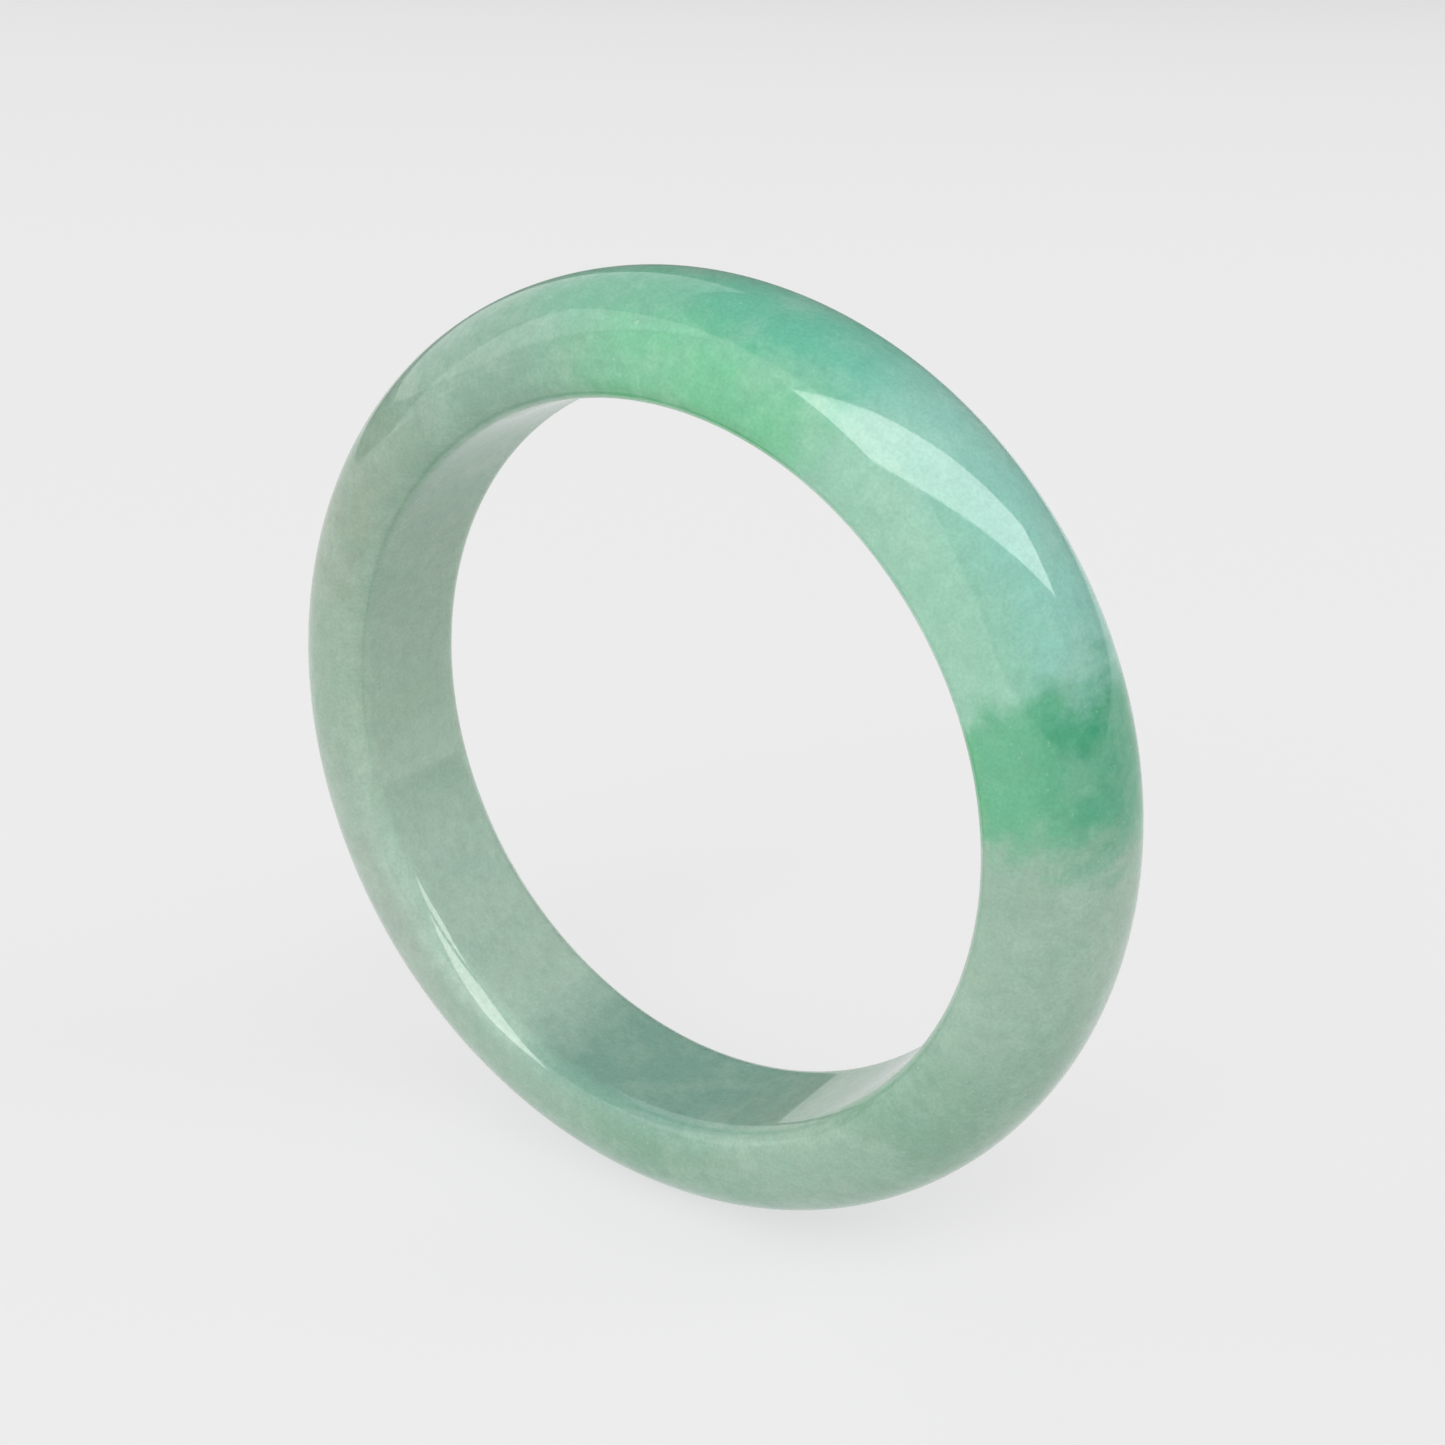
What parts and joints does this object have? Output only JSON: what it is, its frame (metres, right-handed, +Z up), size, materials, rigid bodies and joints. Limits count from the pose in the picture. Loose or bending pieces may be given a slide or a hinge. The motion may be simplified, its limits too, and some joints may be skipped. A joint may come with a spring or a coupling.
{
  "type": "bangle bracelet",
  "caption": "Closed ring bangle of polished pale green jade with a flat inner wall, eased mouths and a domed outside, worn by slipping it over the hand.",
  "frame": {"origin": "middle of the wrist opening, on its axis and halfway across the band", "axes": "+Y along the axis of the wrist opening, +Z up as the ring stands on its edge"},
  "size_m": [0.073, 0.013, 0.073],
  "materials": {
    "jade": "high polish, slightly translucent"
  },
  "bodies": {
    "root": {"jade_ring": "jade"}
  },
  "joints": []
}
